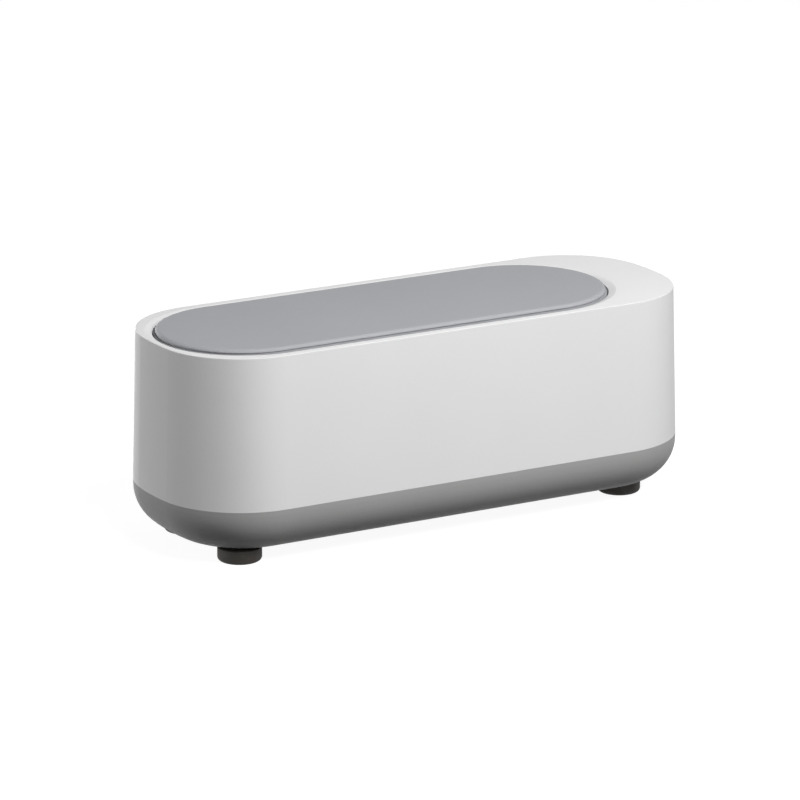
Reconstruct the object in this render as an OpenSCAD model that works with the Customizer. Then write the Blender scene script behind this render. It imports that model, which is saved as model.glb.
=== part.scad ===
// Counter-top sonic cleaner for jewelry and spectacles: a stainless tub in a two-tone case, shaken by a
// small motor that carries an off-centre weight, run from four cells under a hatch in the base.
// Millimetres. X runs along the body, -Y is the photographed long side, Z is up, the feet stand on Z = 0.

/* [Case] */
// Length of the body over its bowed ends
body_l = 200; // [192:1:225]
// Width of the body over its long sides
body_w = 75.6; // [74:0.2:84]
// Plan radius of the four body corners, held to the nearest step that keeps the ends tangent
corner_size = 31.2; // [29.5:0.1:33]
// Height of the white shell from the seam to the rim
shell_h = 52.9; // [51:0.1:62]
// Inward lean of the white shell's walls from the seam to the rim
draft = 1.4; // [1:0.1:1.6]
// Wall thickness of the white shell
shell_wall = 2.2; // [1.8:0.1:2.4]
// Rounding of the outer edge of the rim
rim_edge_r = 0.3; // [0.3:0.1:1]
// Thickness of the deck beside the lid
deck_t = 2.4; // [2:0.1:3]
// Height of the grey base from its flat bottom to the seam
base_h = 16.2; // [15.2:0.2:19]
// Radius of the rounded bottom edge of the base
base_edge_r = 14.6; // [12:0.2:15]
// Wall and floor thickness of the base
base_wall = 2.4; // [2.2:0.1:2.8]
// Height of the locating lip that stands up inside the shell
lip_h = 2.6; // [1.6:0.1:3.2]

/* [Lid and rim] */
// Width of the rim along the two long sides of the lid opening
rim_side = 5.5; // [5:0.1:7]
// Width of the rim at the left end of the lid opening
rim_left = 3.6; // [3.2:0.1:6]
// Width of the deck at the right end of the lid opening
deck_right = 23.2; // [20:0.1:32]
// Fall of the rim from its outer edge to the lid opening
rim_fall = 0.7; // [0.3:0.1:1]
// Gap all round between the lid and the rim
lid_gap = 0.4; // [0.3:0.1:1.2]
// Height of the lid above the outer edge of the rim
lid_proud = 1.05; // [0.5:0.05:2]
// Radius of the lid's upper edge
lid_edge_r = 1.2; // [0.6:0.1:1.6]
// Width of the step round the lid, below its upper edge
lid_step = 0.6; // [0.4:0.1:1]
// Depth of the shadow groove between the lid's upper edge and the step
lid_groove = 0.5; // [0.2:0.1:0.8]
// Thickness of the lid's plate
lid_t = 2.2; // [1.8:0.1:2.8]
// Depth of the lid seat below the rim
seat_depth = 3.6; // [3:0.1:5]
// Height of the locating skirt under the lid
skirt_h = 5; // [3:0.5:8]

/* [Tank] */
// Width of the flange that carries the lid
tank_flange = 2.6; // [2.4:0.1:3.6]
// Sheet thickness of the tank
tank_t = 0.8; // [0.6:0.1:1]
// Radius where the tank's wall meets its floor
tank_floor_r = 8; // [5:0.5:10]
// Thickness of the sealing ring under the flange
gasket_t = 0.6; // [0.4:0.1:1]
// Height of the room for the works under the tank
works_h = 24.9; // [24.4:0.1:28]

/* [Feet and case screws] */
// Diameter of the rubber feet
foot_d = 15.2; // [12:0.1:16]
// Height of the rubber feet
foot_h = 5; // [3:0.5:8]
// Distance of each foot from the end of the body
foot_end = 23.3; // [22:0.1:25]
// Distance of the left feet from the long sides of the body
foot_side_left = 18.3; // [17.5:0.1:19]
// Distance of the right feet from the long sides of the body, which stand closer together
foot_side_right = 22.8; // [21:0.1:24]
// Diameter of the case screws
case_screw_d = 3; // [2.5:0.1:3.2]

/* [Battery bay] */
// Diameter of a cell
cell_d = 10.5; // [10:0.1:10.6]
// Length of a cell with its stud
cell_l = 44.5; // [44:0.1:46]
// Middle of the battery bay along the body
bay_cx = -34; // [-35:0.5:-32]
// Gap all round the battery door
door_gap = 0.3; // [0.3:0.05:0.5]

/* [Motor] */
// Diameter of the motor can
motor_d = 18; // [16:0.5:18]
// Length of the motor can
motor_l = 25; // [23:0.5:27]
// Rear face of the motor can along the body
motor_x = 8; // [6:0.5:12]
// Radius of the off-centre weight
weight_r = 8.5; // [6:0.5:8.5]
// Thickness of the off-centre weight
weight_t = 8; // [5:0.5:10]

/* [Button] */
// Diameter of the power button
button_d = 11.6; // [9:0.2:12]
// Travel of the power button
button_travel = 0.6; // [0.3:0.1:0.8]
// Depth of the power button's middle below the rim
button_drop = 23.6; // [22:0.2:26]

/* [Hidden] */
$fn = 96;
// Pressed, running and loose clearances
press = 0.02;
fit = 0.05;
loose = 0.15;

// Plan: the bowed ends meet the corners along a 17 : 144 : 145 triangle, which keeps each tangent point
// a short number
plan_step = 0.17;
half_l = body_l / 2;
half_w = body_w / 2;
corner_y = plan_step * round((half_w - corner_size) / plan_step);
corner_r = half_w - corner_y;
corner_dx = corner_y * 144 / 17;
end_r = corner_r + corner_y * 145 / 17;
end_x = half_l - end_r;
corner_x = end_x + corner_dx;
wedge = ceil(2 * end_r / corner_dx);

// Heights
z_base = foot_h;
z_floor = z_base + base_wall;
z_seam = z_base + base_h;
z_rim = z_seam + shell_h;
z_lid = z_rim + lid_proud;
z_edge = z_rim - rim_fall;
z_flange = z_rim - seat_depth;
z_ledge = z_flange - tank_t - gasket_t;
z_tank = z_floor + works_h;
z_tank_in = z_tank + tank_t;
function lean(z) = draft * (z - z_seam) / shell_h;

// Lip of the base inside the shell
lip_t = 1.2;
lip_root = 2.2;
lip_gap = 0.25;
lip_u = shell_wall + lip_gap;
base_reach = base_edge_r + 2;

// Opening for the lid, with the ledge that carries the tank and the part of the rim that falls towards it
open_x0 = rim_left + draft - half_l;
open_x1 = half_l - draft - deck_right;
open_l = open_x1 - open_x0;
open_w = body_w - 2 * (draft + rim_side);
open_cx = (open_x0 + open_x1) / 2;
open_edge_r = 0.4;
ring_w = 1.5;
ledge_t = 2.2;
ledge_in = 1.4;
gasket_in = 0.1;
level_w = 0.6;
fall_w = min(rim_left, rim_side) - rim_edge_r - level_w;
fall_lap = 0.3;

// Lid and tank
lid_l = open_l - 2 * lid_gap;
lid_w = open_w - 2 * lid_gap;
step_drop = 0.2;
z_step = z_edge - step_drop;
skirt_gap = 0.3;
skirt_t = 1;
skirt_u = tank_flange - lid_gap + skirt_gap;
tank_l = open_l - 2 * tank_flange;
tank_w = open_w - 2 * tank_flange;
flange_gap = 0.4;

// Feet, with the case screws above them and the bosses that the screws hold
foot_x = half_l - foot_end;
foot_y_left = half_w - foot_side_left;
foot_y_right = half_w - foot_side_right;
foot_edge_r = 1.4;
foot_top_r = 0.5;
stem_r = 3.1;
stem_h = 4.2;
tube_r = 5;
tube_drop = 2;
tube_top = z_seam - tube_drop;
seat_h = 7;
z_seat = z_base + seat_h;
head_r = 2.8;
head_h = 2.2;
boss_r = 4;
boss_gap = 2.3;
boss_top = z_tank - boss_gap;
boss_end = 1.6;
screw_end = 2;
rib_t = 1.6;
rib_gap = 0.4;
z_rib = z_seam + lip_h + rib_gap;
wall_r = corner_r - shell_wall;
function rib_y(y) = corner_y + sqrt(pow(wall_r, 2) - pow(foot_x - corner_x, 2)) - y + shell_wall / 2;
function rib_x(y) = corner_x + sqrt(pow(wall_r, 2) - pow(y - corner_y, 2)) - foot_x + shell_wall / 2;

// Battery bay, cells side by side
cell_gap = 0.4;
cell_pitch = cell_d + cell_gap;
cell_lift = 0.3;
stud_r = 2;
stud_h = 1;
contact_t = 0.4;
contact_h = 8.6;
tail_w = 3;
tail_h = 2.6;
tail_gap = 0.2;
spring_l = 5;
spring_turns = 4;
spring_wire_r = 0.35;
spring_r0 = 3.4;
spring_r1 = 2.2;
spring_sink = 0.1;
bay_wall = 1.6;
bay_l = cell_l + spring_l + 2 * contact_t;
bay_w = 4 * cell_pitch + cell_gap / 2;
bay_x0 = bay_cx - bay_l / 2;
bay_x1 = bay_cx + bay_l / 2;
z_cell = z_floor + cell_lift + cell_d / 2;
z_roof = z_floor + cell_lift + cell_d + cell_gap;
z_tail = z_roof + bay_wall + tail_h;

// Battery door, hinged at its left end on pins of its own
door_drop = 0.3;
door_t = base_wall - door_drop;
door_lap = 1;
door_w = bay_w + 2 * door_lap;
hinge_lap = 2.6;
pull_lap = 5;
door_x0 = bay_x0 - hinge_lap;
door_x1 = bay_x1 + pull_lap;
hinge_x = door_x0 + door_t / 2;
hinge_z = z_base + door_t / 2;
pin_r = 0.6;
pin_l = 1.3;
hole_x0 = door_x0 - door_gap;
hole_x1 = door_x1 + door_gap;
hole_w = door_w + 2 * door_gap;
tongue_w = 14;
tongue_l = 12;
slit = 0.8;
grip_n = 4;
grip_pitch = 1.8;
grip_l = 10;
grip_depth = 0.4;
grip_end = 2.6;
notch_r = 6;
notch_depth = 1;

// Motor, its mount under the tank and its clamp
mount_t = 2;
mount_gap = 0.5;
mount_lap = 1;
motor_r = motor_d / 2;
motor_x1 = motor_x + motor_l;
z_motor = z_tank - mount_t - mount_gap - motor_r;
saddle_in = 4;
saddle_l = 16;
saddle_x = motor_x + saddle_in;
clamp_t = 2.2;
clamp_head_r = 2.2;
clamp_head_h = 1.8;
clamp_screw_r = 1.25;
clamp_bite = 7;
clamp_x = saddle_x + saddle_l / 2;
clamp_y = motor_r + clamp_t + clamp_head_r + loose;
ear_y = clamp_y + clamp_head_r + 0.6;
ear_h = 3.2;
can_t = 0.8;
cap_t = 3;
cap_plug = 2;
cap_pocket = 1.6;
shaft_r = 1;
shaft_in = 1.4;
shaft_out = 1;
bush_r = 3;
bush_flange = 1;
bush_flange_t = 1.6;
bush_nose = 1.5;
magnet_t = 1.5;
magnet_in = 5;
magnet_out = 6;
magnet_a = 130;
air_gap = 0.4;
core_in = 5.5;
core_out = 6.5;
core_r = motor_r - can_t - fit - magnet_t - air_gap;
pole_slot_w = 1.2;
pole_slot_h = 3;
weight_gap = 3.5;
weight_x = motor_x1 + weight_gap;
weight_hub_r = 2.8;
tab_t = 0.6;
tab_w = 2.6;
tab_l = 3.2;
tab_out = 2.2;
tab_x = motor_x - 1.9;

// Button, switch, light and control board behind the right end
z_button = z_rim - button_drop;
button_gap = 0.3;
button_recess = 0.4;
button_dish = 0.5;
dish_r = 30;
button_rim = 1.4;
rim_clear = 0.9;
stem_d = 4.8;
flange_x1 = half_l - lean(z_button) - shell_wall - rim_clear;
flange_x0 = flange_x1 - button_rim;
switch_h = 3.8;
switch_w = 6;
plunger_r = 1.7;
plunger_out = 1.1;
plunger_l = 2.6;
plunger_space = 0.2;
board_t = 1.6;
board_w = 32;
board_gap = 11.4;
board_x = half_l - board_gap;
plunger_x = board_x + switch_h + plunger_out;
led_rise = 11;
z_led = z_button + led_rise;
board_top = 3.2;
board_drop = 20.2;
z_board0 = z_button - board_drop;
z_board1 = z_led + board_top;
post_y = 12.5;
post_rise = 5;
post_z = z_board0 + post_rise;
post_r = 2.6;
post_sink = 2.4;
board_screw_r = 1.1;
board_head_r = 2.2;
board_head_h = 1.6;
board_bite = 6.2;
led_w = 3.2;
led_h = 2;
led_t = 0.8;
led_dome_r = 0.95;
led_dome_h = 0.6;
lens_r = 1.5;
lens_flange = 0.8;
lens_flange_t = 1.6;
lens_in = 2.4;
lens_recess = 0.2;
chip_w = 4;
chip_l = 5;
chip_t = 1.5;
chip_y = -3;
leg_w = 0.5;
leg_l = 0.9;
leg_pitch = 1.15;

// Plug and leads
plug_l = 4;
plug_w = 17;
plug_h = 5;
plug_rise = 1;
pin_pitch = 4;
plug_hole = 1.5;
wire_r = 0.7;
z_plug = z_board0 + plug_rise + plug_h / 2;
plug_x = board_x - board_t - plug_l;

white = [0.87, 0.87, 0.87];
grey = [0.52, 0.53, 0.54];
steel = [0.75, 0.76, 0.78];
dark = [0.14, 0.13, 0.13];
nylon = [0.3, 0.31, 0.33];
brass = [0.75, 0.6, 0.3];

// Sector of a bowed end, from the centre of its arc
module end_wedge() {
  polygon([[0, 0], wedge * [corner_dx, -corner_y], wedge * [corner_dx, corner_y]]);
}

// Sector of a round corner, from the centre of its arc
module corner_wedge() {
  polygon([[0, 0], wedge * [corner_dx, corner_y], [wedge * corner_dx, 2 * end_r], [0, 2 * end_r]]);
}

// Outline of the body drawn in by a given inset: straight sides, round corners, bowed ends
module plan(inset) {
  square([2 * corner_x, body_w - 2 * inset], center = true);
  for (s = [0, 1]) {
    mirror([s, 0]) {
      for (t = [0, 1]) {
        mirror([0, t]) translate([corner_x, corner_y]) circle(corner_r - inset);
      }
      translate([end_x, 0]) intersection() {
        circle(end_r - inset);
        end_wedge();
      }
    }
  }
}

// Carries a section once round the body: its x is the distance outside the outline, its y the height
module sweep_plan() {
  for (s = [0, 1]) {
    mirror([s, 0, 0]) translate([end_x, 0, 0]) intersection() {
      rotate_extrude($fn = 240) translate([end_r, 0]) children();
      linear_extrude(2 * z_rim) end_wedge();
    }
    mirror([0, s, 0]) translate([-corner_x, half_w, 0]) rotate([90, 0, 90])
      linear_extrude(2 * corner_x) children();
    for (t = [0, 1]) {
      mirror([s, 0, 0]) mirror([0, t, 0]) translate([corner_x, corner_y, 0]) intersection() {
        rotate_extrude() translate([corner_r, 0]) children();
        linear_extrude(2 * z_rim) corner_wedge();
      }
    }
  }
}

// Long round-ended outline
module stadium(l, w) {
  square([l - w, w], center = true);
  for (s = [0, 1]) {
    mirror([s, 0]) translate([(l - w) / 2, 0]) intersection() {
      circle(w / 2);
      translate([0, -w]) square([w, 2 * w]);
    }
  }
}

// Carries a section once round a long round-ended outline
module sweep_stadium(l, w) {
  for (s = [0, 1]) {
    mirror([s, 0, 0]) translate([(l - w) / 2, 0, 0]) rotate(-90) rotate_extrude(angle = 180)
      translate([w / 2, 0]) children();
    mirror([0, s, 0]) translate([(w - l) / 2, w / 2, 0]) rotate([90, 0, 90])
      linear_extrude(l - w) children();
  }
}

// Fills a long round-ended outline with a section drawn from its middle line outwards
module fill_stadium(l, w) {
  for (s = [0, 1]) {
    mirror([s, 0, 0]) translate([(l - w) / 2, 0, 0]) rotate(-90) rotate_extrude(angle = 180) children();
  }
  translate([(w - l) / 2, 0, 0]) rotate([90, 0, 90]) linear_extrude(l - w) {
    children();
    mirror([1, 0]) children();
  }
}

// Quarter disc in the corner between +x and +y, moved on by quarter turns
module quarter(r, turn) {
  rotate(90 * turn) intersection() {
    circle(r);
    square(r);
  }
}

// Cylinder lying along X on the motor's axis
module axle(x, l, r) {
  translate([x, 0, z_motor]) rotate([0, 90, 0]) cylinder(r = r, h = l);
}

// Cylinder lying along X at a height and a distance from the middle plane
module peg(x, y, z, l, r) {
  translate([x, y, z]) rotate([0, 90, 0]) cylinder(r = r, h = l);
}

// Repeats at the four feet, turned outwards in each corner
module in_corners() {
  for (s = [0, 1]) {
    for (t = [0, 1]) {
      $foot_y = s == 0 ? foot_y_right : foot_y_left;
      mirror([s, 0, 0]) mirror([0, t, 0]) translate([foot_x, $foot_y, 0]) children();
    }
  }
}

// Pan head with a cross recess, its seat at the origin and its shank along +Z
module screw(pan_r, pan_h, r, l) {
  cross_l = 1.3 * pan_r;
  cross_w = 0.22 * pan_r;
  cross_h = 0.6 * pan_h;
  difference() {
    union() {
      translate([0, 0, -pan_h]) cylinder(r = pan_r, h = pan_h);
      translate([0, 0, -pan_h / 4]) cylinder(r = r, h = l + pan_h / 4);
    }
    for (a = [0, 90]) {
      rotate(a) translate([-cross_l / 2, -cross_w / 2, -pan_h - 1]) cube([cross_l, cross_w, cross_h + 1]);
    }
  }
}

// Smooth curve through a list of points
function curve(p, q, r, s, t) = 0.5 * (2 * q + (r - p) * t + (2 * p - 5 * q + 4 * r - s) * t * t
  + (3 * q - p - 3 * r + s) * t * t * t);
function through(pts, n) = let (m = len(pts) - 1)
  [for (i = [0:m - 1]) for (j = [0:n - (i < m - 1 ? 1 : 0)])
    curve(pts[max(i - 1, 0)], pts[i], pts[i + 1], pts[min(i + 2, m)], j / n)];
function unit(v) = v / norm(v);
function heading(p, i) = unit(p[min(i + 1, len(p) - 1)] - p[max(i - 1, 0)]);

// Closed tube over rings of points
module skin(rings, n, sides) {
  walls = [for (i = [0:n - 2]) for (k = [0:sides - 1])
    let (a = i * sides + k, b = i * sides + (k + 1) % sides)
    [[a, b, a + sides], [b, b + sides, a + sides]]];
  caps = [[for (k = [sides - 1:-1:0]) k], [for (k = [0:sides - 1]) (n - 1) * sides + k]];
  polyhedron(points = rings, faces = concat([for (w = walls) for (f = w) f], caps), convexity = 6);
}

// Round wire along a smooth curve
module wire(pts, r) {
  sides = 8;
  up = [0.1, 0.2, 0.97];
  p = through(pts, 5);
  skin([for (i = [0:len(p) - 1])
    let (t = heading(p, i), a = unit(cross(up, t)), b = cross(t, a))
    for (k = [0:sides - 1]) p[i] + r * (cos(45 * k) * a + sin(45 * k) * b)], len(p), sides);
}

// Conical coil along +X from the origin, its first turn sunk a little into what it stands on
coil_l = spring_l - 2 * spring_wire_r - spring_sink;
module coil() {
  sides = 6;
  n = 8 * spring_turns;
  skin([for (i = [0:n])
    let (f = i / n, a = 45 * i, r = spring_r0 + (spring_r1 - spring_r0) * f,
      c = [spring_wire_r - spring_sink + f * coil_l, r * cos(a), r * sin(a)], u = [0, cos(a), sin(a)])
    for (k = [0:sides - 1]) c + spring_wire_r * (cos(60 * k) * u - sin(60 * k) * [1, 0, 0])], n + 1, sides);
}
coil_gap = norm([coil_l, spring_r0 - spring_r1]) / spring_turns - 2 * spring_wire_r;
echo(str("clear gap between neighbouring turns, mm: ", coil_gap));

module lid() {
  r = lid_w / 2;
  skirt_r = r - skirt_u - skirt_t;
  top_r = r - lid_step;
  edge_x = top_r - lid_edge_r;
  edge_z = z_lid - lid_edge_r;
  color(grey) translate([open_cx, 0, 0]) fill_stadium(lid_l, lid_w) {
    translate([0, z_lid - lid_t]) square([edge_x, lid_t]);
    translate([edge_x, edge_z]) quarter(lid_edge_r, 0);
    translate([skirt_r, z_flange]) square([edge_x - skirt_r, z_lid - z_flange]);
    translate([skirt_r, z_flange]) square([top_r - lid_groove - skirt_r, edge_z - z_flange]);
    translate([skirt_r, z_flange]) square([r - skirt_r, z_step - z_flange]);
    translate([skirt_r, z_flange - skirt_h]) square([skirt_t, skirt_h + lid_t]);
  }
}

module upper_shell() {
  color(white) difference() {
    union() {
      sweep_plan() {
        polygon([[0, z_seam], [-draft, z_rim - rim_edge_r], [-draft - shell_wall, z_rim - rim_edge_r],
          [-shell_wall, z_seam]]);
        translate([-draft - shell_wall, z_rim - deck_t]) square([shell_wall - rim_edge_r, deck_t]);
        translate([-draft - rim_edge_r, z_rim - rim_edge_r]) quarter(rim_edge_r, 0);
      }
      translate([0, 0, z_rim - deck_t]) linear_extrude(deck_t) difference() {
        plan(draft + rim_edge_r + fall_lap / 2);
        translate([open_cx, 0]) stadium(open_l + 2 * fall_w, open_w + 2 * fall_w);
      }
      translate([open_cx, 0, 0]) sweep_stadium(open_l, open_w) {
        polygon([[open_edge_r, z_ledge], [ring_w, z_ledge], [ring_w, z_rim - deck_t],
          [fall_w + fall_lap, z_rim - deck_t], [fall_w + fall_lap, z_rim], [fall_w, z_rim],
          [open_edge_r, z_edge]]);
        translate([0, z_ledge]) square([ring_w, z_edge - open_edge_r - z_ledge]);
        translate([open_edge_r, z_edge - open_edge_r]) quarter(open_edge_r, 1);
        translate([-ledge_in, z_ledge - ledge_t]) square([ledge_in + ring_w, ledge_t]);
      }
      in_corners() {
        translate([0, 0, tube_top]) cylinder(r = boss_r, h = boss_top - tube_top);
        translate([-rib_t / 2, 0, z_rib]) cube([rib_t, rib_y($foot_y), boss_top - z_rib]);
        translate([0, -rib_t / 2, z_rib]) cube([rib_x($foot_y), rib_t, boss_top - z_rib]);
      }
      for (s = [-1, 1]) {
        peg(board_x, s * post_y, post_z, board_gap - post_sink, post_r);
      }
    }
    in_corners() translate([0, 0, tube_top - 1])
      cylinder(r = case_screw_d / 2 + fit, h = boss_top - boss_end - tube_top + 1);
    for (s = [-1, 1]) {
      peg(board_x - 1, s * post_y, post_z, board_bite + 1.4, board_screw_r + fit);
    }
    peg(flange_x0, 0, z_button, board_gap, button_d / 2 + button_gap);
    peg(flange_x0, 0, z_led, board_gap, lens_r + fit);
  }
}

module tank() {
  r = tank_w / 2;
  flange_r = open_w / 2 - flange_gap;
  bend_z = z_tank_in + tank_floor_r;
  color(steel) translate([open_cx, 0, 0]) fill_stadium(tank_l, tank_w) {
    translate([0, z_tank]) square([r - tank_floor_r, tank_t]);
    translate([r, bend_z]) square([tank_t, z_flange - bend_z]);
    translate([r, z_flange - tank_t]) square([flange_r - r, tank_t]);
    translate([r - tank_floor_r, bend_z]) difference() {
      quarter(tank_floor_r + tank_t, 3);
      circle(tank_floor_r);
    }
  }
}

module tank_gasket() {
  gasket_w = ledge_in - flange_gap - gasket_in;
  color(dark) translate([open_cx, 0, 0]) sweep_stadium(open_l, open_w)
    translate([gasket_in - ledge_in, z_ledge]) square([gasket_w, gasket_t]);
}

module base() {
  inner_r = base_edge_r - base_wall;
  color(grey) difference() {
    union() {
      sweep_plan() {
        if (base_h > base_edge_r)
          translate([-base_wall, z_base + base_edge_r]) square([base_wall, base_h - base_edge_r]);
        intersection() {
          translate([-base_edge_r, z_base + base_edge_r]) difference() {
            quarter(base_edge_r, 3);
            circle(inner_r);
          }
          translate([-base_reach, z_base]) square([base_reach, base_h]);
        }
        translate([-base_reach, z_base]) square([base_reach - base_edge_r, base_wall]);
        translate([-lip_u - lip_t, z_seam - lip_root]) square([lip_u + lip_t - base_wall / 2, lip_root]);
        translate([-lip_u - lip_t, z_seam - lip_root]) square([lip_t, lip_root + lip_h]);
      }
      translate([0, 0, z_base]) linear_extrude(base_wall) plan((base_edge_r + base_reach) / 2);
      in_corners() translate([0, 0, z_base + base_wall / 4])
        cylinder(r = tube_r, h = tube_top - z_base - base_wall / 4);
      translate([hole_x0 - bay_wall, -hole_w / 2 - bay_wall, z_floor - base_wall / 2])
        cube([hole_x1 - hole_x0 + 2 * bay_wall, hole_w + 2 * bay_wall, base_wall / 2 + bay_wall]);
      translate([bay_x0 - bay_wall, -bay_w / 2 - bay_wall, z_floor])
        cube([bay_l + 2 * bay_wall, bay_w + 2 * bay_wall, z_roof + bay_wall - z_floor]);
    }
    in_corners() {
      translate([0, 0, z_base - 1]) cylinder(r = stem_r + fit, h = seat_h + 1);
      translate([0, 0, z_base]) cylinder(r = case_screw_d / 2 + loose, h = tube_top);
    }
    translate([bay_x0, -bay_w / 2, z_base]) cube([bay_l, bay_w, z_roof - z_base]);
    translate([hole_x0, -hole_w / 2, z_base - 1]) cube([hole_x1 - hole_x0, hole_w, base_wall + 1]);
    translate([hinge_x, 0, hinge_z]) rotate([90, 0, 0])
      cylinder(r = pin_r + fit, h = hole_w + 2 * pin_l, center = true);
    translate([hole_x1, 0, z_base - 1]) cylinder(r = notch_r, h = notch_depth + 1);
    for (s = [-1, 1]) {
      translate([bay_x1 - contact_t - tail_gap, s * 1.5 * cell_pitch - tail_w / 2 - tail_gap, z_roof - 1])
        cube([contact_t + tail_gap, tail_w + 2 * tail_gap, bay_wall + 2]);
    }
  }
}

module battery_door() {
  color(grey) difference() {
    union() {
      translate([hinge_x, -door_w / 2, z_base]) cube([door_x1 - hinge_x, door_w, door_t]);
      translate([hinge_x, 0, hinge_z]) rotate([90, 0, 0]) {
        cylinder(d = door_t, h = door_w, center = true);
        cylinder(r = pin_r, h = door_w + 2 * pin_l, center = true);
      }
    }
    for (s = [-1, 1]) {
      translate([door_x1 - tongue_l, s * tongue_w / 2 - slit / 2, z_base - 1])
        cube([tongue_l + 1, slit, door_t + 2]);
    }
    for (i = [0:grip_n - 1]) {
      translate([door_x1 - grip_end - grip_pitch * i - slit, -grip_l / 2, z_base - 1])
        cube([slit, grip_l, grip_depth + 1]);
    }
  }
}

module foot(s, t) {
  r = foot_d / 2;
  y = s == 0 ? foot_y_right : foot_y_left;
  color(dark) mirror([s, 0, 0]) mirror([0, t, 0]) translate([foot_x, y, 0]) rotate_extrude() {
    square([r - foot_edge_r, foot_h]);
    translate([0, foot_edge_r]) square([r - foot_top_r, foot_h - foot_edge_r]);
    translate([0, foot_edge_r]) square([r, foot_h - foot_edge_r - foot_top_r]);
    translate([r - foot_edge_r, foot_edge_r]) quarter(foot_edge_r, 3);
    translate([r - foot_top_r, foot_h - foot_top_r]) quarter(foot_top_r, 0);
    square([stem_r, foot_h + stem_h]);
  }
}

module case_screws() {
  color(steel) in_corners() translate([0, 0, z_seat])
    screw(head_r, head_h, case_screw_d / 2, boss_top - z_seat - screw_end);
}

module power_button() {
  face_x = half_l - lean(z_button) - button_recess;
  color(white) difference() {
    union() {
      peg(flange_x0, 0, z_button, face_x - flange_x0, button_d / 2);
      peg(flange_x0, 0, z_button, button_rim, button_d / 2 + button_rim);
      peg(plunger_x, 0, z_button, flange_x0 - plunger_x + button_rim / 2, stem_d / 2);
    }
    translate([face_x + dish_r - button_dish, 0, z_button]) rotate([0, 90, 0]) sphere(dish_r, $fn = 180);
  }
}

module switch_plunger() {
  color(dark) peg(plunger_x - plunger_l, 0, z_button, plunger_l, plunger_r);
}

module tact_switch() {
  color(steel) difference() {
    translate([board_x, -switch_w / 2, z_button - switch_w / 2]) cube([switch_h, switch_w, switch_w]);
    peg(plunger_x - plunger_l - button_travel - plunger_space, 0, z_button, switch_h, plunger_r + fit);
  }
}

module control_board() {
  color([0.1, 0.36, 0.2]) difference() {
    translate([board_x - board_t, -board_w / 2, z_board0]) cube([board_t, board_w, z_board1 - z_board0]);
    for (s = [-1, 1]) {
      peg(board_x - board_t - 1, s * post_y, post_z, board_t + 2, board_screw_r + loose);
    }
  }
}

module timer_chip() {
  x = board_x - board_t;
  color(dark) {
    translate([x - leg_l / 4 - chip_t, chip_y - chip_w / 2, z_button - chip_l / 2])
      cube([chip_t, chip_w, chip_l]);
    for (i = [-1.5:1.5]) {
      for (s = [-1, 1]) {
        translate([x - leg_l, chip_y + s * chip_w / 2 - leg_l, z_button + leg_pitch * i - leg_w / 2])
          cube([leg_l, 2 * leg_l, leg_w]);
      }
    }
  }
}

module status_led() {
  color([0.9, 0.9, 0.8]) {
    translate([board_x, -led_w / 2, z_led - led_h / 2]) cube([led_t, led_w, led_h]);
    peg(board_x + led_t / 2, 0, z_led, led_t / 2 + led_dome_h, led_dome_r);
  }
}

module led_lens() {
  x = half_l - lean(z_led) - shell_wall - lens_in;
  color([0.8, 0.9, 0.95]) {
    peg(x, 0, z_led, shell_wall + lens_in - lens_recess, lens_r);
    peg(x, 0, z_led, lens_flange_t, lens_r + lens_flange);
  }
}

module wire_plug() {
  color([0.93, 0.92, 0.88]) difference() {
    translate([plug_x, -plug_w / 2, z_plug - plug_h / 2]) cube([plug_l, plug_w, plug_h]);
    for (i = [-1.5:1.5]) {
      peg(plug_x - 1, i * pin_pitch, z_plug, plug_hole + 1, wire_r + fit);
    }
  }
}

module board_screws() {
  color(steel) for (s = [-1, 1]) {
    translate([board_x - board_t, s * post_y, post_z]) rotate([0, 90, 0])
      screw(board_head_r, board_head_h, board_screw_r, board_t + board_bite);
  }
}

module motor_mount() {
  color(nylon) difference() {
    union() {
      translate([motor_x, -ear_y - mount_lap, z_tank - mount_t])
        cube([motor_l, 2 * (ear_y + mount_lap), mount_t]);
      translate([saddle_x, -ear_y, z_motor]) cube([saddle_l, 2 * ear_y, z_tank - mount_t / 2 - z_motor]);
    }
    axle(motor_x - 1, motor_l + 2, motor_r + fit);
    for (s = [-1, 1]) {
      translate([clamp_x, s * clamp_y, z_motor - 1]) cylinder(r = clamp_screw_r + fit, h = clamp_bite + 1.4);
    }
  }
}

module motor_clamp() {
  color(nylon) difference() {
    union() {
      intersection() {
        axle(saddle_x, saddle_l, motor_r + clamp_t);
        translate([saddle_x, -motor_d, z_motor - motor_d]) cube([saddle_l, 2 * motor_d, motor_d]);
      }
      translate([saddle_x, -ear_y, z_motor - ear_h]) cube([saddle_l, 2 * ear_y, ear_h]);
    }
    axle(saddle_x - 1, saddle_l + 2, motor_r + fit);
    for (s = [-1, 1]) {
      translate([clamp_x, s * clamp_y, z_motor - ear_h - 1])
        cylinder(r = clamp_screw_r + loose, h = ear_h + 2);
    }
  }
}

module clamp_screws() {
  color(steel) for (s = [-1, 1]) {
    translate([clamp_x, s * clamp_y, z_motor - ear_h])
      screw(clamp_head_r, clamp_head_h, clamp_screw_r, ear_h + clamp_bite);
  }
}

module motor_can() {
  color(steel) difference() {
    axle(motor_x, motor_l, motor_r);
    axle(motor_x - 1, motor_l + 1 - can_t, motor_r - can_t);
    axle(motor_x, motor_l + 1, bush_r + fit);
  }
}

module motor_end_cap() {
  color(dark) difference() {
    union() {
      axle(motor_x - cap_t, cap_t, motor_r);
      axle(motor_x - cap_t / 2, cap_t / 2 + cap_plug, motor_r - can_t - fit);
    }
    axle(motor_x - cap_pocket, cap_pocket + 2 * cap_plug, shaft_r + fit);
    motor_terminals();
  }
}

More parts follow.
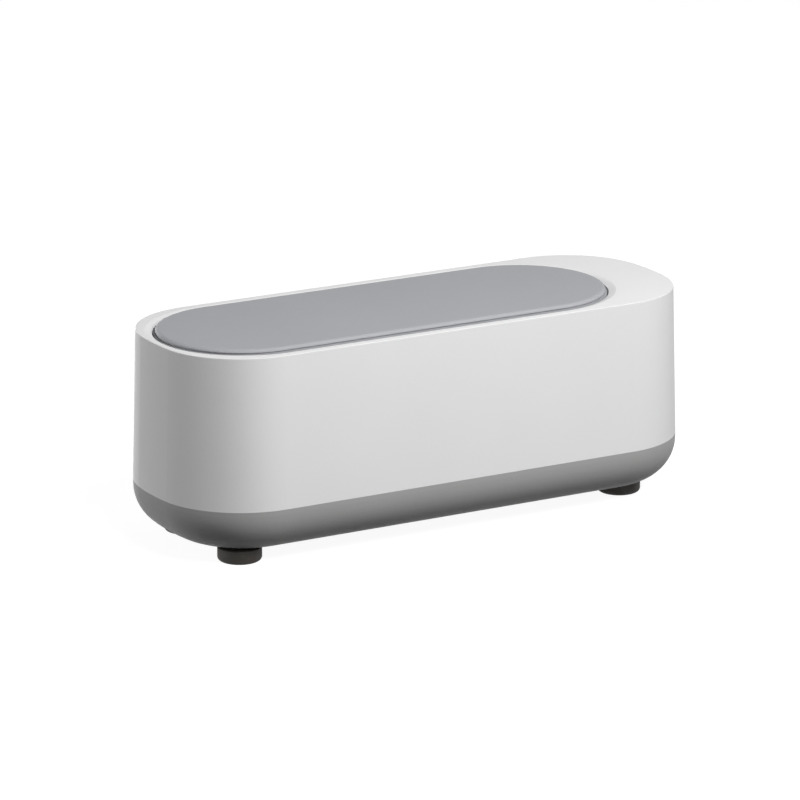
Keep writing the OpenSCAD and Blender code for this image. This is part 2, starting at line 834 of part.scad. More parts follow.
module motor_terminals() {
  color(brass) for (s = [0, 1]) {
    mirror([0, s, 0]) translate([tab_x, motor_r + tab_out - tab_l, z_motor - tab_w / 2])
      cube([tab_t, tab_l, tab_w]);
  }
}

module motor_bush() {
  x = motor_x1 - can_t - bush_flange_t;
  color(brass) difference() {
    union() {
      axle(x, bush_flange_t + can_t + bush_nose, bush_r);
      axle(x, bush_flange_t, bush_r + bush_flange);
    }
    axle(x - 1, motor_l, shaft_r + fit);
  }
}

module motor_magnets() {
  color([0.25, 0.25, 0.26]) for (a = [0, 180]) {
    translate([motor_x + magnet_in, 0, z_motor]) rotate([0, 90, 0]) rotate(a + 90 - magnet_a / 2)
      rotate_extrude(angle = magnet_a) translate([motor_r - can_t - fit - magnet_t, 0])
        square([magnet_t, motor_l - magnet_in - magnet_out]);
  }
}

module motor_shaft() {
  color(steel) axle(motor_x - shaft_in, weight_x + weight_t + shaft_out - motor_x + shaft_in, shaft_r);
}

module armature() {
  color([0.55, 0.33, 0.2]) difference() {
    axle(motor_x + core_in, motor_l - core_in - core_out, core_r);
    axle(motor_x, motor_l, shaft_r + press);
    for (a = [0, 120, 240]) {
      translate([motor_x, 0, z_motor]) rotate([a, 0, 0])
        translate([0, -pole_slot_w / 2, core_r - pole_slot_h]) cube([motor_l, pole_slot_w, 2 * pole_slot_h]);
    }
  }
}

module eccentric_weight() {
  color(brass) difference() {
    union() {
      intersection() {
        axle(weight_x, weight_t, weight_r);
        translate([weight_x, -2 * weight_r, z_motor - 2 * weight_r])
          cube([weight_t, 4 * weight_r, 2 * weight_r]);
      }
      axle(weight_x, weight_t, weight_hub_r);
    }
    axle(weight_x - 1, weight_t + 2, shaft_r + press);
  }
}

// Cells lie side by side and point alternately to the right and to the left
module battery_cell(i) {
  stud_x = bay_l / 2 - contact_t - stud_h;
  color([0.2, 0.35, 0.3]) translate([bay_cx, (i - 1.5) * cell_pitch, z_cell]) mirror([i % 2, 0, 0]) {
    peg(stud_x + stud_h - cell_l, 0, 0, cell_l - stud_h, cell_d / 2);
    peg(stud_x - stud_h, 0, 0, 2 * stud_h, stud_r);
  }
}

module contact(x, y, w) {
  translate([x, y - w / 2, z_cell - contact_h / 2]) cube([contact_t, w, contact_h]);
}

module contact_plates() {
  pair_w = cell_pitch + contact_h;
  color(steel) {
    contact(bay_x0, -cell_pitch, pair_w);
    contact(bay_x0, cell_pitch, pair_w);
    contact(bay_x1 - contact_t, 0, pair_w);
    for (s = [-1, 1]) {
      contact(bay_x1 - contact_t, s * 1.5 * cell_pitch, contact_h);
      translate([bay_x1 - contact_t, s * 1.5 * cell_pitch - tail_w / 2, z_cell])
        cube([contact_t, tail_w, z_tail - z_cell]);
    }
  }
}

module contact_springs() {
  color(steel) for (i = [0:3]) {
    translate([bay_cx, (i - 1.5) * cell_pitch, z_cell]) mirror([i % 2, 0, 0])
      translate([contact_t - bay_l / 2, 0, 0]) coil();
  }
}

// Leads from the plug on the board round the works, one on each side; their points are chosen by hand
module leads(pts) {
  for (s = [-1, 1]) {
    wire([for (p = pts) [p[0], s * p[1], p[2]]], wire_r);
  }
}

module motor_leads() {
  y = pin_pitch / 2;
  x1 = tab_x + tab_t / 2;
  y1 = motor_r + tab_out + fit;
  color([0.7, 0.15, 0.12]) leads([[plug_x + 1, y, z_plug], [plug_x - 2, y, z_plug], [plug_x - 5, y, z_plug],
    [plug_x - 17, 6.5, z_tank - 4.5], [motor_x1 + 17, 17, z_motor + 4.5], [motor_x + 12, 19, z_motor + 4.5],
    [motor_x + 1, y1 + 6, z_motor + 2], [x1, y1 + 3, z_motor], [x1, y1 + 1.5, z_motor], [x1, y1, z_motor]]);
}

module battery_leads() {
  y = 1.5 * pin_pitch;
  y1 = 1.5 * cell_pitch;
  z1 = z_tail - tail_h / 2;
  color([0.12, 0.12, 0.13]) leads([[plug_x + 1, y, z_plug], [plug_x - 2, y, z_plug], [plug_x - 5, y, z_plug],
    [plug_x - 15, 12, z_tank - 3.4], [motor_x1 + 15, 20.5, z_motor + 7.5],
    [motor_x + 12, 21.5, z_motor + 7.5], [motor_x - 4, 19, z1 + 2],
    [bay_x1 + 5, y1, z1], [bay_x1 + 2.5, y1, z1], [bay_x1 + fit, y1, z1]]);
}

lid();
upper_shell();
tank();
tank_gasket();
base();
battery_door();
foot(1, 1);  // foot_front_left
foot(0, 1);  // foot_front_right
foot(1, 0);  // foot_rear_left
foot(0, 0);  // foot_rear_right
case_screws();
power_button();
switch_plunger();
tact_switch();
control_board();
timer_chip();
status_led();
led_lens();
wire_plug();
board_screws();
motor_mount();
motor_clamp();
clamp_screws();
motor_can();
motor_end_cap();
motor_terminals();
motor_bush();
motor_magnets();
motor_shaft();
armature();
eccentric_weight();
battery_cell(0);  // battery_cell_1
battery_cell(1);  // battery_cell_2
battery_cell(2);  // battery_cell_3
battery_cell(3);  // battery_cell_4
contact_plates();
contact_springs();
motor_leads();
battery_leads();
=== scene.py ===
"""Looks of the counter-top sonic cleaner: materials, smooth wires and springs, floor, light and camera."""
import math

import bpy
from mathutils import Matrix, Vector


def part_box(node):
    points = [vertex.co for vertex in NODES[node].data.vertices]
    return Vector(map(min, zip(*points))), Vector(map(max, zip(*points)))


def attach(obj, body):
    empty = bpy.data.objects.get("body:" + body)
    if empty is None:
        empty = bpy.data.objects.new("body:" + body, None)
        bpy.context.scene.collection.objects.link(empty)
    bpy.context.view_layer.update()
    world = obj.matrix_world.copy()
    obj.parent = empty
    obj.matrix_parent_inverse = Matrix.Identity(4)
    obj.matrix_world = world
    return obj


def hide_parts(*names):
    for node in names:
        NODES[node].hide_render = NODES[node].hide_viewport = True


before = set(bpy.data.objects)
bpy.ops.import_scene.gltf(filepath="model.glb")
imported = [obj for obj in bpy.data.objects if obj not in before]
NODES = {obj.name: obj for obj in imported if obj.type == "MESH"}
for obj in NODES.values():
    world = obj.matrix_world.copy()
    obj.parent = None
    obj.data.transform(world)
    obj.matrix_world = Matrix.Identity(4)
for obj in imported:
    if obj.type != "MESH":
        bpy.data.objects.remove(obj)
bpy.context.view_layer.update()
MM = 0.001

# Camera, from the fit of the photograph: degrees and metres, with the lens and sensor in millimetres
CAMERA_AZIMUTH = -29.767
CAMERA_ELEVATION = 15.932
CAMERA_DISTANCE = 1.7907
CAMERA_TARGET = Vector((-0.003296, 0.0, 0.040614))
CAMERA_LENS = 233.64
CAMERA_SENSOR = 36.0
CAMERA_REACH = 50.0

# Floor and light
FLOOR_SIZE = 14.0
FLOOR_BOUNCE = 0.06
FLOOR_WHITE = 0.93
FLOOR_SHADOW = 0.22
BACKDROP_WHITE = 1.0
AMBIENT = 0.04
LAMP_AIM = Vector((0.0, 0.0, 0.045))
LAMPS = {
    # name: (azimuth, elevation, distance, size, watts), in degrees and metres; azimuth 0 is in front
    "key": (26.0, 45.0, 1.6, 0.6, 6.5),
    "front": (0.0, 50.0, 1.6, 0.6, 7.9),
    "near": (8.5, 37.9, 0.513, 0.22, 1.45),
    "left_back": (-125.0, 14.0, 1.6, 0.6, 10.4),
    "right_back": (130.0, 35.0, 0.478, 0.25, 0.14),
    "back": (180.0, 0.5, 1.6, 0.05, 8.0),
}

# Colours that are used by name below
WHITE = (0.80, 0.80, 0.802)
LID_GREY = (0.388, 0.393, 0.411)
BASE_GREY = (0.368, 0.368, 0.366)
STAINLESS = (0.66, 0.66, 0.665)
BOARD_GREEN = (0.020, 0.110, 0.045)
CORE_STEEL = (0.34, 0.30, 0.27)
LENS_CLEAR = (0.86, 0.92, 0.94)
CELL_GREEN = (0.030, 0.075, 0.062)
CELL_COPPER = (0.48, 0.26, 0.11)
CELL_STEEL = (0.62, 0.62, 0.62)

PLASTICS = {
    # name: (colour, roughness, size of the grain, its depth, spread of the colour, specular level)
    "white_case": (WHITE, 0.50, 0.0005, 0.000012, 0.012, 0.20),
    "grey_lid": (LID_GREY, 0.64, 0.0006, 0.000018, 0.02, 0.10),
    "grey_base": (BASE_GREY, 0.56, 0.0006, 0.000018, 0.02, 0.25),
    "button_white": ((0.80, 0.80, 0.80), 0.24, 0.0006, 0.000006, 0.012, 0.5),
    "black_plastic": ((0.022, 0.022, 0.024), 0.48, 0.0005, 0.00002, 0.15, 0.5),
    "bracket_plastic": ((0.055, 0.057, 0.062), 0.52, 0.0006, 0.00003, 0.12, 0.5),
    "led_cream": ((0.78, 0.74, 0.60), 0.28, 0.0005, 0.00001, 0.03, 0.5),
    "plug_cream": ((0.74, 0.71, 0.62), 0.46, 0.0005, 0.00002, 0.03, 0.5),
    "magnet_ferrite": ((0.060, 0.060, 0.066), 0.60, 0.0007, 0.00004, 0.2, 0.5),
    "wire_red": ((0.42, 0.030, 0.022), 0.40, 0.0004, 0.00001, 0.08, 0.5),
    "wire_black": ((0.020, 0.020, 0.022), 0.40, 0.0004, 0.00001, 0.2, 0.5),
}
RUBBERS = {
    # name: colour
    "foot_rubber": (0.026, 0.0225, 0.019),
    "seal": (0.10, 0.10, 0.10),
}
PLATED = {
    # name: (colour, roughness, the tint that the colour drifts to)
    "screw_steel": ((0.56, 0.56, 0.57), 0.34, (0.60, 0.57, 0.48)),
    "motor_steel": ((0.60, 0.59, 0.57), 0.30, (0.55, 0.55, 0.56)),
    "contact_brass": ((0.72, 0.53, 0.24), 0.30, (0.62, 0.43, 0.19)),
    "contact_steel": ((0.68, 0.67, 0.64), 0.24, (0.60, 0.60, 0.60)),
    "weight_brass": ((0.58, 0.47, 0.28), 0.36, (0.50, 0.40, 0.24)),
}
FINISH = {
    # node: material
    "lid": "grey_lid",
    "upper_shell": "white_case",
    "tank": "stainless",
    "tank_gasket": "seal",
    "base": "grey_base",
    "battery_door": "grey_base",
    "foot_front_left": "foot_rubber",
    "foot_front_right": "foot_rubber",
    "foot_rear_left": "foot_rubber",
    "foot_rear_right": "foot_rubber",
    "case_screws": "screw_steel",
    "power_button": "button_white",
    "switch_plunger": "black_plastic",
    "tact_switch": "motor_steel",
    "control_board": "board_green",
    "timer_chip": "black_plastic",
    "status_led": "led_cream",
    "led_lens": "lens_clear",
    "wire_plug": "plug_cream",
    "board_screws": "screw_steel",
    "motor_mount": "bracket_plastic",
    "motor_clamp": "bracket_plastic",
    "clamp_screws": "screw_steel",
    "motor_can": "motor_steel",
    "motor_end_cap": "black_plastic",
    "motor_terminals": "contact_brass",
    "motor_bush": "contact_brass",
    "motor_magnets": "magnet_ferrite",
    "motor_shaft": "motor_steel",
    "armature": "rotor_core",
    "eccentric_weight": "weight_brass",
    "contact_plates": "contact_steel",
    "contact_springs": "contact_steel",
    "motor_leads": "wire_red",
    "battery_leads": "wire_black",
}

# Sizes in the materials, in metres
FLOW_MARKS = 0.045
BLOOM_PATCH = 0.0035
RUBBER_GRAIN, RUBBER_DEPTH = 0.0004, 0.00003
STREAK_WIDTH, STREAK_DEPTH = 0.0022, 0.000008
HAZE_PATCH, HAZE_DEPTH = 0.02, 0.00010
TINT_PATCH = 0.004
MARK_SIZE, MARK_DEPTH = 0.0005, 0.000012
TRACK_PITCH, TRACK_DEPTH = 0.0015, 0.00004
MASK_PATCH = 0.003
RING_PITCH, RING_DEPTH = 0.0033, 0.00008
VARNISH_PATCH = 0.002
SCUFF_SIZE, SCUFF_DEPTH = 0.0018, 0.00002
FROST_SIZE = 0.0008
# Runs of tracks on the board: the axis that the tracks repeat along, and the size of the runs' patches
TRACK_RUNS = {"Y": 0.011, "Z": 0.015}
# Along a cell from its stud: the end of the stud's bare steel, of the copper band and of the sleeve
CELL_BARE, CELL_BAND, CELL_SLEEVE = 0.0013, 0.0130, 0.0441
CELL_EDGE = 0.0002

# Shares in the materials
# Clumps in moulded grain, as multiples of the grain's own size and depth
CLUMP_SIZE, CLUMP_DEPTH = 2.2, 1.5
# Scale along X and Y that draws the streaks of sheet metal out
STREAK_STRETCH = 0.05
# Values of a noise between which a mark fades in
WIDE, MIDDLE, NARROW = (0.25, 0.75), (0.3, 0.7), (0.35, 0.65)
UPPER, TOP = (0.45, 0.75), (0.5, 0.8)
# Values of a wave between which a track begins, and of a noise between which a run of tracks does
TRACK_EDGE, RUN_EDGE = (0.72, 0.84), (0.50, 0.52)
# A wave texture of scale 1 repeats after this length
WAVE_PERIOD = math.pi / 10

# Leads and springs, which follow the same lines as the solids, in millimetres and counts
WIRE_RADIUS = 0.7
WIRE_SIDES = 14
WIRE_STEPS = 14
MOTOR_LEAD = [
    (84.0, 2, 33.8), (81.0, 2, 33.8), (78.0, 2, 33.8), (66.0, 6.5, 27.8), (50, 17, 25.3), (20, 19, 25.3),
    (9, 17.25, 22.8), (6.4, 14.25, 20.8), (6.4, 12.75, 20.8), (6.4, 11.25, 20.8)]
BATTERY_LEAD = [
    (84.0, 6, 33.8), (81.0, 6, 33.8), (78.0, 6, 33.8), (68.0, 12, 28.9), (48, 20.5, 28.3), (20, 21.5, 28.3),
    (4, 19, 23.5), (-3.85, 16.35, 21.5), (-6.35, 16.35, 21.5), (-8.8, 16.35, 21.5)]
CELLS = 4
CELL_PITCH = 10.9
BAY_MIDDLE = (-34.0, 0.0, 12.95)
SPRING_SEAT = -24.75
SPRING_START = 0.25
SPRING_LENGTH = 4.2
SPRING_RADII = (3.4, 2.2)
SPRING_WIRE = 0.35
SPRING_TURNS = 4
SPRING_SIDES = 12
TURN_STEPS = 40


# Material helpers

class Shader:
    """A new material with one principled shader, and short calls for the nodes that feed it."""

    def __init__(self, name, colour, roughness, metallic=0.0, specular=0.5):
        self.material = bpy.data.materials.new(name)
        self.material.use_nodes = True
        self.material.diffuse_color = (*colour, 1.0)
        self.tree = self.material.node_tree
        self.bsdf = self.tree.nodes["Principled BSDF"]
        self.bsdf.inputs["Base Color"].default_value = (*colour, 1.0)
        self.bsdf.inputs["Roughness"].default_value = roughness
        self.bsdf.inputs["Metallic"].default_value = metallic
        self.bsdf.inputs["Specular IOR Level"].default_value = specular
        self.place = self.node("ShaderNodeTexCoord").outputs["Object"]

    def node(self, kind):
        return self.tree.nodes.new(kind)

    def link(self, source, target):
        self.tree.links.new(source, target)

    def stretched(self, x, y, z):
        """The object's own coordinates, scaled apart along X, Y and Z."""
        mapping = self.node("ShaderNodeMapping")
        mapping.inputs["Scale"].default_value = (x, y, z)
        self.link(self.place, mapping.inputs["Vector"])
        return mapping.outputs["Vector"]

    def noise(self, size, detail=3.0, place=None):
        """Cloudy values from 0 to 1, with features about size metres across."""
        noise = self.node("ShaderNodeTexNoise")
        noise.inputs["Scale"].default_value = 1.0 / size
        noise.inputs["Detail"].default_value = detail
        self.link(place or self.place, noise.inputs["Vector"])
        return noise.outputs["Fac"]

    def cells(self, size):
        """Distance to the nearest of scattered points about size metres apart, for moulded grain."""
        cells = self.node("ShaderNodeTexVoronoi")
        cells.inputs["Scale"].default_value = 1.0 / size
        self.link(self.place, cells.inputs["Vector"])
        return cells.outputs["Distance"]

    def bands(self, direction, period, distortion=0.0):
        """Values from 0 to 1 that repeat along one of the object's own axes."""
        wave = self.node("ShaderNodeTexWave")
        wave.bands_direction = direction
        wave.inputs["Scale"].default_value = WAVE_PERIOD / period
        wave.inputs["Distortion"].default_value = distortion
        self.link(self.place, wave.inputs["Vector"])
        return wave.outputs["Fac"]

    def span(self, value, low, high, to_low=0.0, to_high=1.0):
        """value, taken from low..high to to_low..to_high and held there."""
        span = self.node("ShaderNodeMapRange")
        for name, number in zip(("From Min", "From Max", "To Min", "To Max"), (low, high, to_low, to_high)):
            span.inputs[name].default_value = number
        self.link(value, span.inputs["Value"])
        return span.outputs["Result"]

    def combine(self, operation, a, b):
        """Two values joined by a product, maximum or the like."""
        node = self.node("ShaderNodeMath")
        node.operation = operation
        self.link(a, node.inputs[0])
        self.link(b, node.inputs[1])
        return node.outputs[0]

    def axis(self, name):
        """One of the object's own coordinates in metres."""
        split = self.node("ShaderNodeSeparateXYZ")
        self.link(self.place, split.inputs["Vector"])
        return split.outputs[name]

    def mix(self, factor, a, b):
        """A colour between a and b, each a colour or a node's output."""
        mix = self.node("ShaderNodeMix")
        mix.data_type = "RGBA"
        self.link(factor, mix.inputs["Factor"])
        for socket, colour in (("A", a), ("B", b)):
            target = next(s for s in mix.inputs if s.name == socket and s.type == "RGBA")
            if isinstance(colour, tuple):
                target.default_value = (*colour, 1.0)
            else:
                self.link(colour, target)
        return next(s for s in mix.outputs if s.type == "RGBA")

    def colour(self, output):
        self.link(output, self.bsdf.inputs["Base Color"])

    def roughness(self, output):
        self.link(output, self.bsdf.inputs["Roughness"])

    def bump(self, *layers):
        """Relief from (height, depth in metres) layers, one on the other."""
        normal = None
        for height, depth in layers:
            bump = self.node("ShaderNodeBump")
            bump.inputs["Strength"].default_value = 1.0
            bump.inputs["Distance"].default_value = depth
            self.link(height, bump.inputs["Height"])
            if normal:
                self.link(normal, bump.inputs["Normal"])
            normal = bump.outputs["Normal"]
        self.link(normal, self.bsdf.inputs["Normal"])


def scaled(colour, factor, lift=0.0):
    """A lighter or darker version of a colour."""
    return tuple(min(1.0, c * factor + lift) for c in colour)


# Materials

def moulded(name, colour, roughness, grain, depth, spread, specular):
    """Moulded plastic: spark-eroded grain, faint flow marks in its colour and slightly uneven gloss."""
    s = Shader(name, colour, roughness, specular=specular)
    flow = s.noise(FLOW_MARKS, detail=4.0)
    fine = s.noise(grain * CLUMP_SIZE, detail=2.0)
    s.colour(s.mix(s.span(flow, *MIDDLE), scaled(colour, 1 - spread), scaled(colour, 1 + spread)))
    s.roughness(s.span(fine, *WIDE, to_low=roughness - 0.05, to_high=roughness + 0.06))
    s.bump((s.cells(grain), depth), (fine, depth * CLUMP_DEPTH))
    return s.material


def rubber(name, colour):
    """Moulded rubber: dull, with fine grain and a pale bloom that gathers in patches."""
    s = Shader(name, colour, roughness=0.62, specular=0.4)
    bloom = s.noise(BLOOM_PATCH, detail=5.0)
    s.colour(s.mix(s.span(bloom, *UPPER), colour, scaled(colour, factor=1.9, lift=0.006)))
    s.roughness(s.span(bloom, *MIDDLE, to_low=0.55, to_high=0.75))
    s.bump((s.noise(RUBBER_GRAIN), RUBBER_DEPTH))
    return s.material


def drawn_steel(name, colour):
    """Drawn stainless sheet: faint streaks round the walls and a soft, uneven haze."""
    s = Shader(name, colour, roughness=0.26, metallic=1.0)
    streaks = s.noise(STREAK_WIDTH, 1.0, s.stretched(STREAK_STRETCH, STREAK_STRETCH, 1.0))
    haze = s.noise(HAZE_PATCH)
    s.colour(s.mix(s.span(streaks, *MIDDLE), scaled(colour, factor=0.92), scaled(colour, factor=1.05)))
    s.roughness(s.span(haze, *MIDDLE, to_low=0.24, to_high=0.34))
    s.bump((streaks, STREAK_DEPTH), (haze, HAZE_DEPTH))
    return s.material


def plated(name, colour, roughness, tint):
    """Plated metal: a tint that drifts over the surface, and fine turning or stamping marks."""
    s = Shader(name, colour, roughness, metallic=1.0)
    s.colour(s.mix(s.span(s.noise(TINT_PATCH), *NARROW), colour, tint))
    marks = s.noise(MARK_SIZE, detail=4.0)
    s.roughness(s.span(marks, *MIDDLE, to_low=roughness - 0.07, to_high=roughness + 0.09))
    s.bump((marks, MARK_DEPTH))
    return s.material


def board_mask(name, colour):
    """Solder mask with runs of parallel copper tracks that show through as lighter lines."""
    s = Shader(name, colour, roughness=0.34)
    runs = []
    for axis, patch in TRACK_RUNS.items():
        lines = s.span(s.bands(axis, TRACK_PITCH), *TRACK_EDGE)
        runs.append(s.combine("MULTIPLY", lines, s.span(s.noise(patch, detail=0.0), *RUN_EDGE)))
    tracks = s.combine("MAXIMUM", *runs)
    s.colour(s.mix(tracks, colour, scaled(colour, factor=1.9, lift=0.01)))
    s.roughness(s.span(s.noise(MASK_PATCH), *MIDDLE, to_low=0.28, to_high=0.40))
    s.bump((tracks, TRACK_DEPTH))
    return s.material


def laminated(name, colour):
    """Core of stacked sheets: rings along the shaft, and varnish that is uneven in gloss."""
    s = Shader(name, colour, roughness=0.42, metallic=0.8)
    rings = s.bands("X", RING_PITCH, distortion=0.4)
    s.colour(s.mix(rings, scaled(colour, factor=0.45), colour))
    s.roughness(s.span(s.noise(VARNISH_PATCH), *MIDDLE, to_low=0.34, to_high=0.52))
    s.bump((rings, RING_DEPTH))
    return s.material


def cell_sleeve(name, colour, stud_x, way):
    """Sleeved cell: dark sleeve, a copper band at the stud end and bare steel at both ends."""
    s = Shader(name, colour, roughness=0.30)
    along = s.axis("X")
    band = s.span(along, stud_x - way * CELL_BAND, stud_x - way * (CELL_BAND - CELL_EDGE))
    stud = s.span(along, stud_x - way * CELL_BARE, stud_x - way * (CELL_BARE - CELL_EDGE))
    foot = s.span(along, stud_x - way * CELL_SLEEVE, stud_x - way * (CELL_SLEEVE + CELL_EDGE))
    scuffs = s.noise(SCUFF_SIZE, detail=5.0)
    sleeve = s.mix(s.span(scuffs, *TOP), colour, scaled(colour, factor=1.5, lift=0.01))
    s.colour(s.mix(foot, s.mix(stud, s.mix(band, sleeve, CELL_COPPER), CELL_STEEL), CELL_STEEL))
    s.roughness(s.span(scuffs, *MIDDLE, to_low=0.24, to_high=0.40))
    s.bump((scuffs, SCUFF_DEPTH))
    return s.material


def clear_lens(name, colour):
    """Clear acrylic light pipe with a frosted haze."""
    s = Shader(name, colour, roughness=0.16)
    s.bsdf.inputs["Transmission Weight"].default_value = 0.75
    s.bsdf.inputs["IOR"].default_value = 1.49
    haze = s.noise(FROST_SIZE)
    s.colour(s.mix(s.span(haze, *MIDDLE), colour, scaled(colour, factor=0.9)))
    s.roughness(s.span(haze, *MIDDLE, to_low=0.12, to_high=0.28))
    return s.material


def make_materials():
    """All materials by name, apart from those of the cells."""
    made = {name: moulded(name, *values) for name, values in PLASTICS.items()}
    made.update({name: rubber(name, colour) for name, colour in RUBBERS.items()})
    made.update({name: plated(name, *values) for name, values in PLATED.items()})
    made["stainless"] = drawn_steel("stainless", STAINLESS)
    made["board_green"] = board_mask("board_green", BOARD_GREEN)
    made["rotor_core"] = laminated("rotor_core", CORE_STEEL)
    made["lens_clear"] = clear_lens("lens_clear", LENS_CLEAR)
    return made


def wear(node, material):
    """Puts a material on a CAD node in place of its own."""
    mesh = NODES[node].data
    mesh.materials.clear()
    mesh.materials.append(material)


def cell_way(i):
    """Which way a cell's stud points along X: every second cell lies the other way."""
    return -1 if i % 2 else 1


def dress(made):
    """Gives each CAD node its material."""
    for node, name in FINISH.items():
        wear(node, made[name])
    for i in range(CELLS):
        node = f"battery_cell_{i + 1}"
        low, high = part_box(node)
        stud = high if cell_way(i) > 0 else low
        wear(node, cell_sleeve(f"cell_case_{i + 1}", CELL_GREEN, stud.x, cell_way(i)))


# Wires and springs

def through(points, steps):
    """Points of a smooth curve through a list of points."""
    pts = [Vector(p) for p in points]
    last = len(pts) - 1
    out = []
    for i in range(last):
        p, q, r, s = pts[max(i - 1, 0)], pts[i], pts[i + 1], pts[min(i + 2, last)]
        for j in range(steps):
            t = j / steps
            out.append(0.5 * (2 * q + (r - p) * t + (2 * p - 5 * q + 4 * r - s) * t ** 2
                              + (3 * q - p - 3 * r + s) * t ** 3))
    return out + [pts[last]]


def tube(path, radius, sides, offset=0):
    """Vertices and faces of a closed round tube along a path."""
    verts, faces = [], []
    count = len(path)
    side = None
    for i, p in enumerate(path):
        heading = (path[min(i + 1, count - 1)] - path[max(i - 1, 0)]).normalized()
        if side is None:
            side = heading.orthogonal().normalized()
        side = (side - heading * side.dot(heading)).normalized()
        up = heading.cross(side)
        for k in range(sides):
            a = 2 * math.pi * k / sides
            verts.append(p + radius * (math.cos(a) * side + math.sin(a) * up))
    for i in range(count - 1):
        for k in range(sides):
            a, b = offset + i * sides + k, offset + i * sides + (k + 1) % sides
            faces.append((a, b, b + sides, a + sides))
    faces.append(tuple(offset + k for k in reversed(range(sides))))
    faces.append(tuple(offset + (count - 1) * sides + k for k in range(sides)))
    return verts, faces


def tubes(name, paths, radius, sides, material, node):
    """One piece of several smooth tubes, in place of a node with coarser ones."""
    verts, faces = [], []
    for path in paths:
        v, f = tube(path, radius, sides, len(verts))
        verts += v
        faces += f
    mesh = bpy.data.meshes.new(name)
    mesh.from_pydata(verts, [], faces)
    mesh.shade_smooth()
    mesh.materials.append(material)
    piece = bpy.data.objects.new(name, mesh)
    bpy.context.scene.collection.objects.link(piece)
    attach(piece, "case")
    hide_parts(node)


def lead_paths(points):
    """The same lead on both sides of the middle plane, in metres."""
    return [through([(x * MM, side * y * MM, z * MM) for x, y, z in points], WIRE_STEPS) for side in (-1, 1)]


def make_leads(made):
    for name, points, node in (("motor_wires", MOTOR_LEAD, "motor_leads"),
                               ("battery_wires", BATTERY_LEAD, "battery_leads")):
        tubes(name, lead_paths(points), WIRE_RADIUS * MM, WIRE_SIDES, made[FINISH[node]], node)


def spring_path(i):
    """Centre line of the conical spring behind one cell, in metres."""
    steps = SPRING_TURNS * TURN_STEPS
    path = []
    for k in range(steps + 1):
        f = k / steps
        a = 2 * math.pi * SPRING_TURNS * f
        r = SPRING_RADII[0] + (SPRING_RADII[1] - SPRING_RADII[0]) * f
        x = BAY_MIDDLE[0] + cell_way(i) * (SPRING_SEAT + SPRING_START + SPRING_LENGTH * f)
        y = BAY_MIDDLE[1] + (i - (CELLS - 1) / 2) * CELL_PITCH + r * math.cos(a)
        path.append(Vector((x, y, BAY_MIDDLE[2] + r * math.sin(a))) * MM)
    return path


def make_springs(made):
    node = "contact_springs"
    paths = [spring_path(i) for i in range(CELLS)]
    tubes("cell_springs", paths, SPRING_WIRE * MM, SPRING_SIDES, made[FINISH[node]], node)


# Stage

def seen_directly(tree):
    """1 for what the camera sees, straight, in a reflection or through something clear."""
    path = tree.nodes.new("ShaderNodeLightPath")
    total = path.outputs["Is Camera Ray"]
    for name in ("Is Glossy Ray", "Is Transmission Ray"):
        larger = tree.nodes.new("ShaderNodeMath")
        larger.operation = "MAXIMUM"
        tree.links.new(total, larger.inputs[0])
        tree.links.new(path.outputs[name], larger.inputs[1])
        total = larger.outputs[0]
    return total


def choose(tree, hidden, shown, output):
    """Joins what only lights the object and what the camera sees."""
    mix = tree.nodes.new("ShaderNodeMixShader")
    tree.links.new(seen_directly(tree), mix.inputs[0])
    tree.links.new(hidden.outputs[0], mix.inputs[1])
    tree.links.new(shown.outputs[0], mix.inputs[2])
    tree.links.new(mix.outputs[0], output.inputs["Surface"])


def matt(tree, value):
    """A plain grey matt surface."""
    surface = tree.nodes.new("ShaderNodeBsdfDiffuse")
    surface.inputs["Color"].default_value = (value, value, value, 1.0)
    return surface


def floor_material():
    """Floor that bounces little light on the object, and is seen as white with a soft shadow."""
    material = bpy.data.materials.new("floor")
    material.use_nodes = True
    tree = material.node_tree
    tree.nodes.clear()
    white = tree.nodes.new("ShaderNodeEmission")
    white.inputs["Strength"].default_value = FLOOR_WHITE
    shown = tree.nodes.new("ShaderNodeAddShader")
    tree.links.new(white.outputs[0], shown.inputs[0])
    tree.links.new(matt(tree, FLOOR_SHADOW).outputs[0], shown.inputs[1])
    choose(tree, matt(tree, FLOOR_BOUNCE), shown, tree.nodes.new("ShaderNodeOutputMaterial"))
    return material


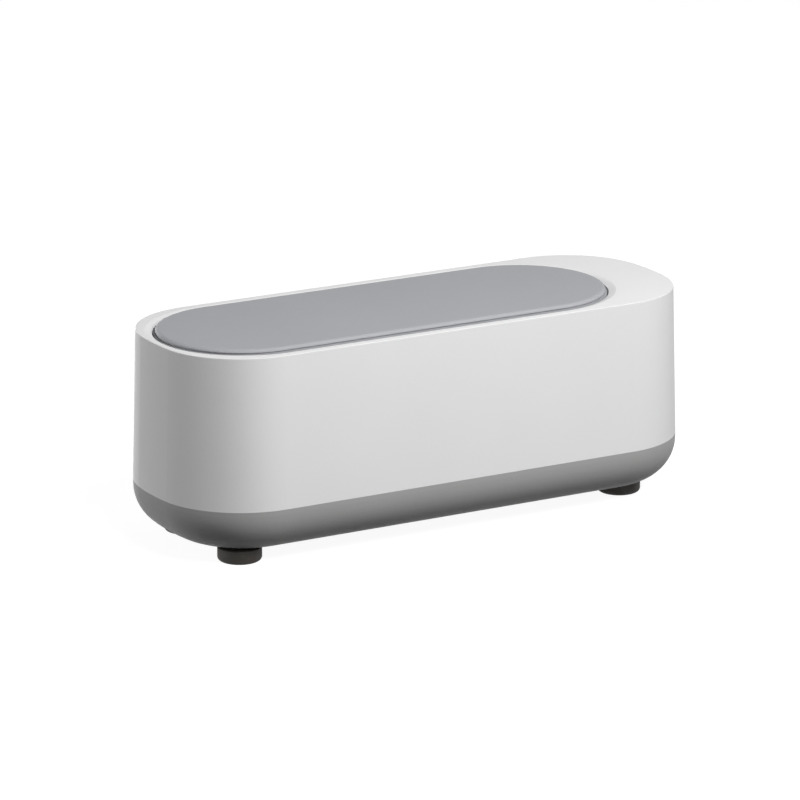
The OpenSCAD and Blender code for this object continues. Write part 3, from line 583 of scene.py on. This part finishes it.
def make_floor():
    half = FLOOR_SIZE / 2
    corners = [(-half, -half, 0), (half, -half, 0), (half, half, 0), (-half, half, 0)]
    mesh = bpy.data.meshes.new("floor")
    mesh.from_pydata(corners, [], [(0, 1, 2, 3)])
    mesh.materials.append(floor_material())
    floor = bpy.data.objects.new("floor", mesh)
    bpy.context.scene.collection.objects.link(floor)


def background(tree, strength):
    """Even white from all round."""
    node = tree.nodes.new("ShaderNodeBackground")
    node.inputs["Color"].default_value = (1.0, 1.0, 1.0, 1.0)
    node.inputs["Strength"].default_value = strength
    return node


def make_world():
    """A little soft light from all round, seen as white."""
    world = bpy.data.worlds.new("studio")
    bpy.context.scene.world = world
    world.use_nodes = True
    tree = world.node_tree
    tree.nodes.clear()
    output = tree.nodes.new("ShaderNodeOutputWorld")
    choose(tree, background(tree, AMBIENT), background(tree, BACKDROP_WHITE), output)


def look_from(thing, target, distance, azimuth, elevation):
    """Places a lamp or camera round a target, by angles in degrees, and turns it to the target."""
    turn, rise = math.radians(azimuth), math.radians(elevation)
    level = math.cos(rise)
    away = Vector((math.sin(turn) * level, -math.cos(turn) * level, math.sin(rise)))
    thing.location = target + distance * away
    thing.rotation_euler = (-away).to_track_quat("-Z", "Y").to_euler()
    bpy.context.scene.collection.objects.link(thing)


def make_lamps():
    for name, (azimuth, elevation, distance, size, watts) in LAMPS.items():
        data = bpy.data.lights.new(name, "AREA")
        data.shape = "SQUARE"
        data.size = size
        data.energy = watts
        look_from(bpy.data.objects.new(name, data), LAMP_AIM, distance, azimuth, elevation)


def make_camera():
    data = bpy.data.cameras.new("camera")
    data.lens = CAMERA_LENS
    data.sensor_width = CAMERA_SENSOR
    data.clip_end = CAMERA_REACH
    camera = bpy.data.objects.new("camera", data)
    look_from(camera, CAMERA_TARGET, CAMERA_DISTANCE, CAMERA_AZIMUTH, CAMERA_ELEVATION)
    bpy.context.scene.camera = camera


make_camera()
materials = make_materials()
dress(materials)
make_leads(materials)
make_springs(materials)
make_floor()
make_world()
make_lamps()
bpy.context.scene.view_settings.view_transform = "Standard"
